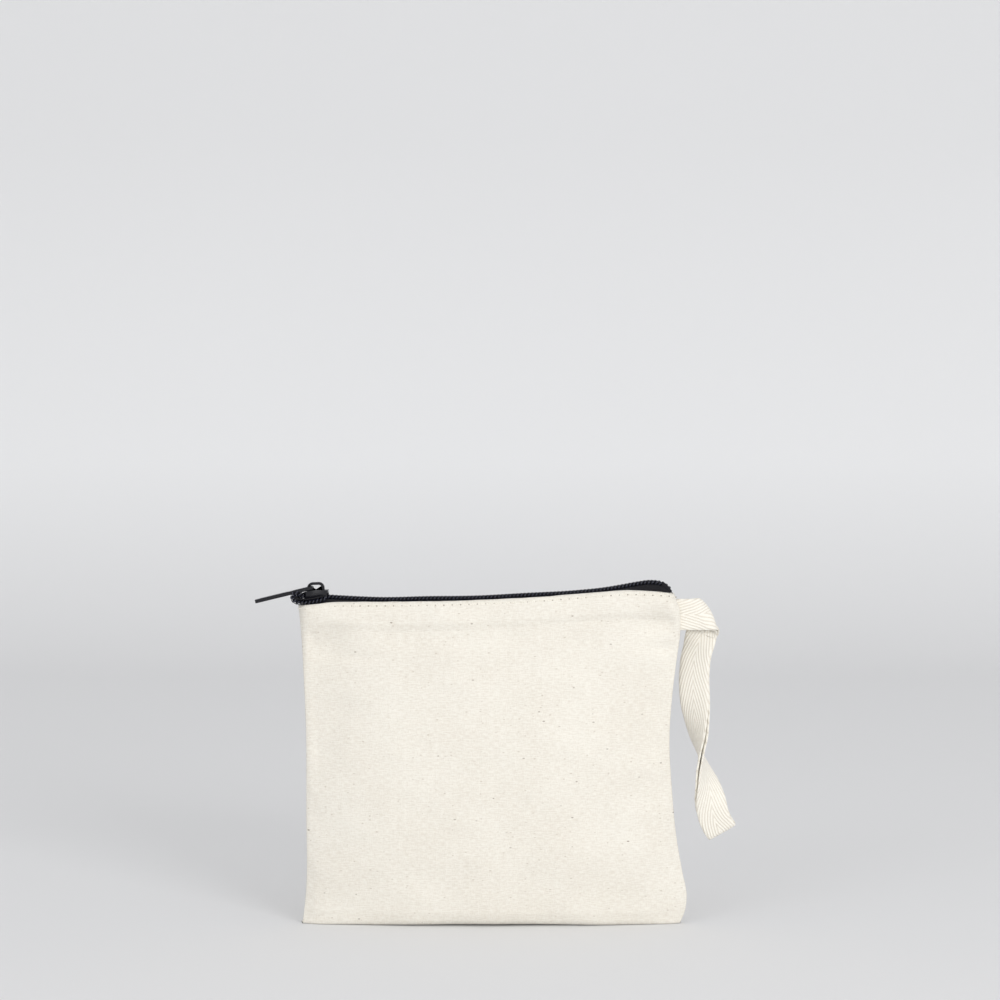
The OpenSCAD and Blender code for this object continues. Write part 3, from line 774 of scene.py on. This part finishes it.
def hood_rows(spare):
    """Rows of the tape's other end, which is turned over the coil before it enters the right seam."""
    edge_of = [(0.0, 0.95), (1.0, 0.97), (1.9, 0.8), (2.5, 0.25), (2.8, -0.5), (2.9, -1.3)]
    rows = np.stack([chain_path(y, up - spare) for y, up in edge_of], 1)
    return rows[rows[:, 0, 0] > hood_start]


def fold_rows(inside):
    """Rows of the tape's folded end, at a distance inside the coil's own line."""
    fold_count = 44
    return np.stack([chain_path(y, -inside)[:fold_count] for y in (0.4, 1.2, 2.0, 2.7)], 1)


for side, seed in panel_seeds.items():
    points, faces, places = zip_tape(seed)
    if side == "back":
        points, faces = mirrored(points, faces)
    tape = new_piece("tape_" + side, points * MM, faces, tape_cloth)
    lay_pattern(tape, places)
    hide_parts("zipper_tape_" + side)
    part_with(tape, side)

    flip = np.array([1, -1 if side == "back" else 1, 1])
    path = chain_path(0, 0) * flip
    path = path[path[:, 0] < hood_start + 1.5]
    if side == "back":
        path[:, 0] += coil_pitch / 2
    coil = row_of("coil_loops_" + side, path, coil_pitch, loop_back if side == "back" else loop, nylon)
    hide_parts("coil_" + side)
    part_with(coil, side)

    points, faces = tube(chain_path(1.05, 0, 0.6) * flip, 0.36)
    filler = new_piece("filler_cord_" + side, points * MM, faces, tape_cloth)
    lay_pattern(filler, points[:, [0, 2]])
    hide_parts("coil_cord_" + side)
    part_with(filler, side)

    # Two rows of thread over the legs of the coil, which rise and dip once in each loop
    sewn_points, sewn_faces = np.zeros((0, 3)), []
    for row_y in (0.95, 1.45):
        line_points = chain_path(row_y, 0.62, coil_pitch / 4)
        line_points[:, 2] += 0.07 * np.cos(np.arange(len(line_points)) * math.pi / 2)
        points, faces = tube(line_points * flip, 0.09, 5)
        sewn_faces += [tuple(i + len(sewn_points) for i in f) for f in faces]
        sewn_points = np.concatenate([sewn_points, points])
    binding = new_piece("coil_sewing_" + side, sewn_points * MM, sewn_faces, tape_cloth)
    lay_pattern(binding, sewn_points[:, [0, 2]])
    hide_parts("coil_stitching_" + side)
    part_with(binding, side)


# The slider, its bail and the pull tab
# Cast zinc, lacquered black. The edges are rounded, and a painted highlight lightens them.
# This group gives a painted highlight on the sharp edges and a fine grain for the gloss
edge_highlight_and_grain, taken, given = new_group("edge highlight and grain", [("Vector", "Vector", None), ("Amount", "Float", 0.5)],
                               ["Edge", "Grain"])
point = add_node(edge_highlight_and_grain, "ShaderNodeNewGeometry").outputs["Pointiness"]
mottle = add_node(edge_highlight_and_grain, "ShaderNodeTexNoise", Vector=taken["Vector"], Scale=900.0, Detail=4.0).outputs[0]
edge = add_node(edge_highlight_and_grain, "ShaderNodeMapRange", Value=point, From_Min=0.54, From_Max=0.62).outputs[0]
edge_highlight_and_grain.links.new(maths(edge_highlight_and_grain, "MULTIPLY", maths(edge_highlight_and_grain, "MULTIPLY", edge, mottle), taken["Amount"]), given["Edge"])
edge_highlight_and_grain.links.new(mottle, given["Grain"])

lacquer, tree, shader = new_material("black lacquer")
highlight_and_grain = use_group(tree, edge_highlight_and_grain, Vector=add_node(tree, "ShaderNodeTexCoord").outputs["Object"], Amount=0.7)
# The sharp edges are painted a lighter grey: a painted highlight along the edges
tree.links.new(mixed(tree, highlight_and_grain["Edge"], (0.006, 0.006, 0.009, 1), (0.12, 0.12, 0.14, 1)),
               shader.inputs["Base Color"])
gloss = add_node(tree, "ShaderNodeMapRange", Value=highlight_and_grain["Grain"], To_Min=0.16, To_Max=0.3).outputs[0]
tree.links.new(gloss, shader.inputs["Roughness"])
shader.inputs["Specular IOR Level"].default_value = 0.35
shader.inputs["Coat Weight"].default_value = 0.05
shader.inputs["Coat Roughness"].default_value = 0.1
raised(tree, shader, highlight_and_grain["Grain"], 0.000012)


def cast_piece(name, node, body, rounding):
    """The designed part with its edges rounded, as it comes from the mould."""
    mesh = bpy.data.objects[node].data.copy()
    made = bpy.data.objects.new(name, mesh)
    bpy.context.collection.objects.link(made)
    shell = bmesh.new()
    shell.from_mesh(mesh)
    bmesh.ops.remove_doubles(shell, verts=shell.verts, dist=2e-6)
    bmesh.ops.dissolve_limit(shell, angle_limit=math.radians(2), verts=shell.verts, edges=shell.edges)
    shell.to_mesh(mesh)
    shell.free()
    rounder = made.modifiers.new("rounding", "BEVEL")
    rounder.width, rounder.segments, rounder.limit_method = rounding * MM, 3, "ANGLE"
    rounder.angle_limit = math.radians(35)
    graph = bpy.context.evaluated_depsgraph_get()
    rounded = bpy.data.meshes.new_from_object(made.evaluated_get(graph))
    made.modifiers.clear()
    made.data = rounded
    made.data.materials.clear()
    made.data.materials.append(lacquer)
    made.data.shade_smooth()
    made.data.set_sharp_from_angle(angle=math.radians(50))
    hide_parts(node)
    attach(made, body)


cast_piece("slider", "slider_body", "slider", 0.22)
cast_piece("bail", "slider_bail", "slider", 0.2)
cast_piece("tab", "pull_tab", "pull", 0.18)


# The wrist loop
# One length of herringbone cotton tape, doubled, with both ends caught in the right side seam. It curls over
# where it leaves the seam, hangs, and turns once round itself on the way down.
# The two layers leave the seam flat, wrap round a slanting axis, and come back out below. The first stations
# lie in the flat cloth before it is wrapped.
# A station is x, y, z, the direction across the tape, and half the distance between the two layers.
layer_gap = 0.46
wrap_y, wrap_r, wrap_at = -0.3, 2.0, 115.8
wrap_out, wrap_along = np.array([0.83, 0, 0.56]), np.array([0.56, 0, -0.83])
fold_swell, fold_middle, fold_half = 1.15, -46, 6
exit_height = 102.8
flat_route = [(x, wrap_y, exit_height, 0, 0, 1, layer_gap) for x in np.linspace(62.4, 81.4, 4)]


def wrapped(points):
    """Flat points, carried round the axis and back behind it."""
    out = points @ wrap_out - wrap_at
    deep = points[:, 1] - wrap_y
    turned = np.clip(out / wrap_r, 0, math.pi)
    swell = fold_swell * np.maximum(0, 1 - ((points @ wrap_along - fold_middle) / fold_half) ** 2)
    past = np.maximum(out - math.pi * wrap_r, 0)
    moved = np.minimum(out, 0) + (wrap_r - deep + swell) * np.sin(turned) - past
    made = points + (moved - out)[:, None] * wrap_out
    made[:, 1] = wrap_y + wrap_r - (wrap_r - deep) * np.cos(turned)
    return made


joint = wrapped(np.array([flat_route[-1][:3], np.add(flat_route[-1][:3], (0, 0, 1))]))
loop_route = [
    (*joint[0], *(joint[1] - joint[0]), layer_gap), (70.15, 3.4, 91.7, -0.84, 0.42, 0.2, layer_gap),
    (69.2, 2.7, 88, -0.87, 0.44, 0.08, layer_gap), (68.8, 2.0, 84.5, -0.88, 0.42, 0, layer_gap),
    (68.6, 1.6, 81, -0.9, 0.4, 0, layer_gap), (68.7, 1.2, 77, -0.9, 0.4, 0, layer_gap),
    (69.0, 0.9, 72.5, -0.84, 0.52, 0, 0.5), (69.5, 0.7, 67.5, -0.66, 0.73, 0, 0.56),
    (70.1, 0.6, 62, -0.4, 0.9, 0, 0.6), (70.6, 0.5, 57, -0.05, 1, 0, 0.56),
    (71.6, 0.5, 51.2, 0.4, 0.9, 0, 0.6), (73.0, 0.5, 45.6, 0.75, 0.62, 0.1, 0.6),
    (73.9, 0.5, 41.0, 0.93, 0.25, 0.2, 0.7), (74.7, 0.5, 37.2, 0.9, -0.05, 0.4, 0.8),
    (75.8, 0.5, 33.9, 0.8, -0.15, 0.58, 0.95), (77.4, 0.5, 31.2, 0.66, -0.2, 0.72, 1.05)]
strap_w, strap_t = 10.0, 0.8
flat_steps, route_steps, turn_steps = 14, 7, 10


def spline(stations, steps):
    """Stations along a smooth curve through the given ones."""
    s = np.array(stations, float)
    padded = np.concatenate([s[:1], s, s[-1:]])
    made = []
    for i in range(len(s) - 1):
        a, b, c, d = padded[i:i + 4]
        for k in np.arange(steps) / steps:
            made.append(0.5 * (2 * b + (c - a) * k + (2 * a - 5 * b + 4 * c - d) * k**2
                               + (3 * b - a - 3 * c + d) * k**3))
    return np.array(made + [s[-1]])


def unit(v):
    """Each vector at length one."""
    return v / np.linalg.norm(v, axis=-1, keepdims=True)


stations = np.concatenate([spline(flat_route, flat_steps)[:-1], spline(loop_route, route_steps)])
flat_rows = (len(flat_route) - 1) * flat_steps
centre, gap = stations[:, :3].copy(), stations[:, 6:7]
flat_part, hanging_part = centre[:flat_rows], centre[flat_rows:]
heading = unit(np.concatenate([np.gradient(part, axis=0) for part in (flat_part, hanging_part)]))
across = unit(stations[:, 3:6] - np.sum(stations[:, 3:6] * heading, 1, keepdims=True) * heading)
facing = np.cross(heading, across)
turn = np.linspace(0, math.pi, turn_steps + 2)[1:-1, None]
end_facing = facing[-1] * np.cos(turn) + heading[-1] * np.sin(turn)
# The route of the whole tape: out along one layer, round the bottom, and back along the other
turned_end = centre[-1] + end_facing * gap[-1]
line = np.concatenate([centre + facing * gap, turned_end, (centre - facing * gap)[::-1]])
wide = np.concatenate([across, np.repeat(across[-1:], turn_steps, 0), across[::-1]])
thick = np.concatenate([facing, end_facing, -facing[::-1]])
# The section is flat with softly rounded selvedges, listed once round
half_w, half_t, selvedge = strap_w / 2, strap_t / 2, 0.22
upper = [(half_w * v, half_t * (1 - 0.35 * abs(v) ** 12)) for v in np.linspace(-1, 1, 15)]
lower = [(w, -t) for w, t in reversed(upper)]
section = np.array(upper + [(half_w + selvedge, 0.0)] + lower + [(-half_w - selvedge, 0.0)])
rows, sides = len(line), len(section)
points = line[:, None] + wide[:, None] * section[None, :, :1] + thick[:, None] * section[None, :, 1:]
points = points.reshape(-1, 3)
to_wrap = np.zeros(rows, bool)
to_wrap[:flat_rows], to_wrap[-flat_rows:] = True, True
to_wrap = np.repeat(to_wrap, sides)
points[to_wrap] = wrapped(points[to_wrap])
line[:flat_rows], line[-flat_rows:] = wrapped(line[:flat_rows]), wrapped(line[-flat_rows:])
faces = [(r * sides + c, r * sides + (c + 1) % sides, (r + 1) * sides + (c + 1) % sides, (r + 1) * sides + c)
         for r in range(rows - 1) for c in range(sides)]
faces += [tuple(range(sides - 1, -1, -1)), tuple((rows - 1) * sides + c for c in range(sides))]
travel = np.concatenate([[0], np.cumsum(np.linalg.norm(np.diff(line, axis=0), axis=1))])

# Ribs that lean away from the middle of the tape on both sides
herringbone, taken, given = new_group(
    "herringbone twill", [("Vector", "Vector", None), ("Rib", "Float", 1.0), ("Lean", "Float", 0.3)],
    ["Height", "Groove"])
split = add_node(herringbone, "ShaderNodeSeparateXYZ", i0=taken["Vector"])
aside = maths(herringbone, "ABSOLUTE", split.outputs[0])
lean = maths(herringbone, "MULTIPLY", split.outputs[1], taken["Lean"])
phase = maths(herringbone, "DIVIDE", maths(herringbone, "SUBTRACT", aside, lean), taken["Rib"])
wave = maths(herringbone, "SINE", maths(herringbone, "MULTIPLY", phase, math.pi))
rib = maths(herringbone, "ABSOLUTE", wave)
pick = maths(herringbone, "SINE", maths(herringbone, "MULTIPLY", split.outputs[1], math.tau / 0.42))
fine = maths(herringbone, "MULTIPLY", pick, 0.12)
herringbone.links.new(maths(herringbone, "ADD", rib, fine), given["Height"])
herringbone.links.new(maths(herringbone, "POWER", maths(herringbone, "SUBTRACT", 1.0, rib), 2.0),
                      given["Groove"])

twill, tree, shader = new_material("twill tape")
where = cloth_coordinates(tree)
ribs = use_group(tree, herringbone, Vector=where, Rib=0.95, Lean=0.3)
yarn = use_group(tree, slub, Vector=where)
fibre = mixed(tree, yarn["Tone"], (0.82, 0.775, 0.675, 1), (0.94, 0.915, 0.85, 1))
# The grooves between the ribs are painted darker: painted shade in the grooves
tree.links.new(mixed(tree, maths(tree, "MULTIPLY", ribs["Groove"], 0.5), fibre, (0.60, 0.51, 0.38, 1)),
               shader.inputs["Base Color"])
raised(tree, shader, ribs["Height"], 0.00016)
shader.inputs["Roughness"].default_value = 0.9
shader.inputs["Sheen Weight"].default_value = 0.2

strap = new_piece("wrist_loop", points * MM, faces, twill)
section_place = np.clip(section[:, 0], -half_w, half_w)
half_way = travel[-1] / 2
from_seam = half_way - np.abs(travel - half_way)
lay_pattern(strap, np.stack([np.tile(section_place, rows), np.repeat(from_seam, sides)], -1))
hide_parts("wrist_strap")
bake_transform(strap)
